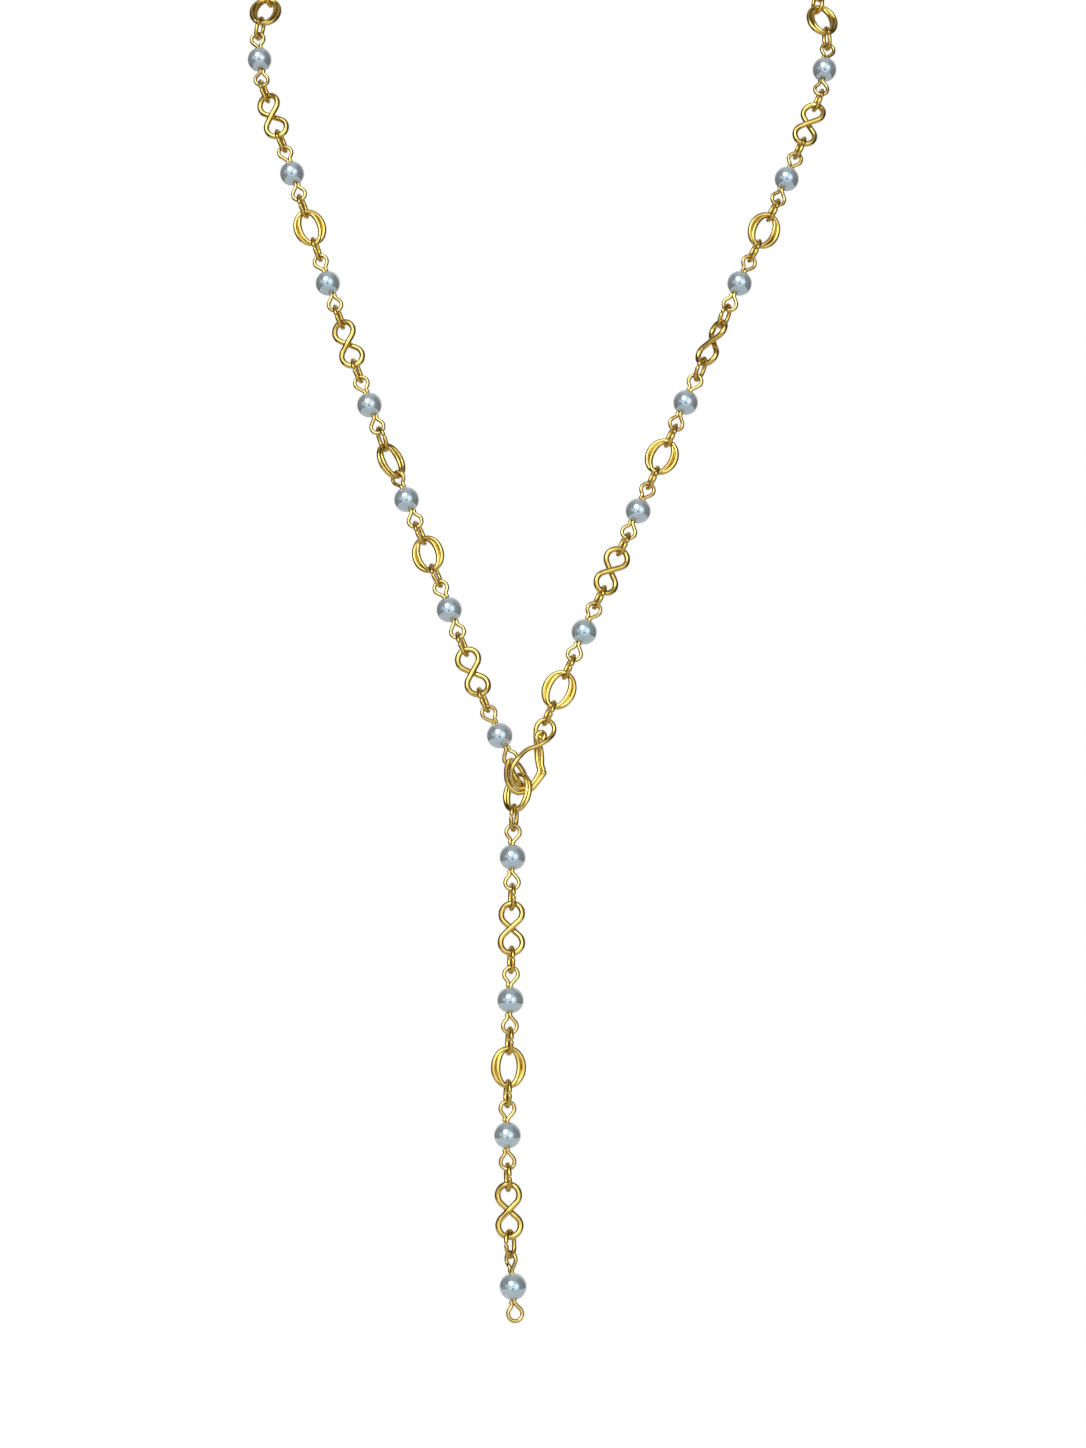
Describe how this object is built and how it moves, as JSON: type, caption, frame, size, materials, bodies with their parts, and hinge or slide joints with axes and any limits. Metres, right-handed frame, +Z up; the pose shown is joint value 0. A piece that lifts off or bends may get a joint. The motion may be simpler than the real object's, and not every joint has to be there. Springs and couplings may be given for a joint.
{
  "type": "long necklace",
  "caption": "Long necklace of round pearls on eye pins, joined by figure-eight and double oval wire links, with a hook clasp and a hanging tail.",
  "frame": {"origin": "middle of the link at the nape, where the necklace hangs on the back of a neck", "axes": "+Z up, -Y to the front of the wearer, +X to the viewer's right when seen from the front"},
  "size_m": [0.1482, 0.1304, 0.3357],
  "materials": {
    "gold": "polished, gold-coloured",
    "pearl": "pearl lustre over a blue-grey bead"
  },
  "bodies": {
    "root": {"chain_left": "gold", "chain_right": "gold", "chain_tail": "gold", "hook_clasp": "gold", "clasp_ring": "gold", "tail_ring": "gold", "pearl_01": "pearl", "pearl_02": "pearl", "pearl_03": "pearl", "pearl_04": "pearl", "pearl_05": "pearl", "pearl_06": "pearl", "pearl_07": "pearl", "pearl_08": "pearl", "pearl_09": "pearl", "pearl_10": "pearl", "pearl_11": "pearl", "pearl_12": "pearl", "pearl_13": "pearl", "pearl_14": "pearl", "pearl_15": "pearl", "pearl_16": "pearl", "pearl_17": "pearl", "pearl_18": "pearl", "pearl_19": "pearl", "tail_pearl_1": "pearl", "tail_pearl_2": "pearl", "tail_pearl_3": "pearl", "tail_pearl_4": "pearl"}
  },
  "joints": []
}
